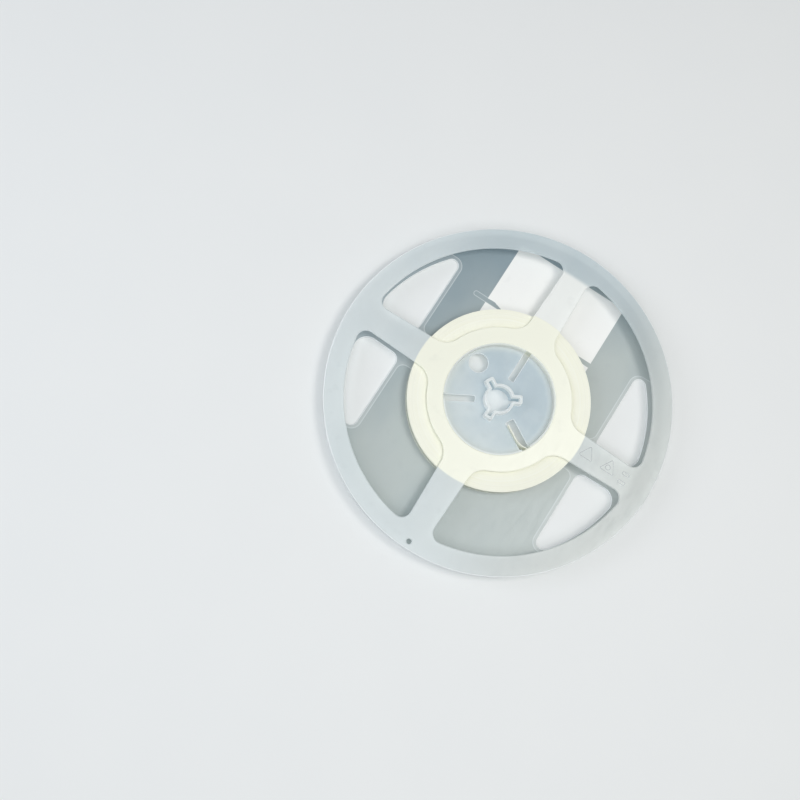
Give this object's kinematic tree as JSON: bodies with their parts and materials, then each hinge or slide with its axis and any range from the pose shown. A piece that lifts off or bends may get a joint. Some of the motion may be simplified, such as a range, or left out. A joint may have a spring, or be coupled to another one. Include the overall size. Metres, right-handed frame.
{
  "type": "smd tape reel",
  "caption": "Flat round reel of pale plastic with windowed flanges and a keyed hub, holding a roll of paper carrier tape.",
  "frame": {"origin": "on the reel's axis, at the outer face of the label-side flange, which the reel lies on", "axes": "+Z along the reel's axis, out of the open side; +Y along the solid band of the label-side flange, past the label; +X along its narrow spokes"},
  "size_m": [0.18, 0.18, 0.0114],
  "materials": {
    "reel_plastic": "milky moulded polystyrene, soft gloss",
    "flange_plastic": "milky moulded polystyrene, soft gloss",
    "paper_tape": "matt cream paper tape, edge on",
    "label_paper": "white printed label paper"
  },
  "bodies": {
    "root": {"label_side_flange": "reel_plastic", "open_side_flange": "flange_plastic", "carrier_tape": "paper_tape", "label": "label_paper"}
  },
  "joints": []
}
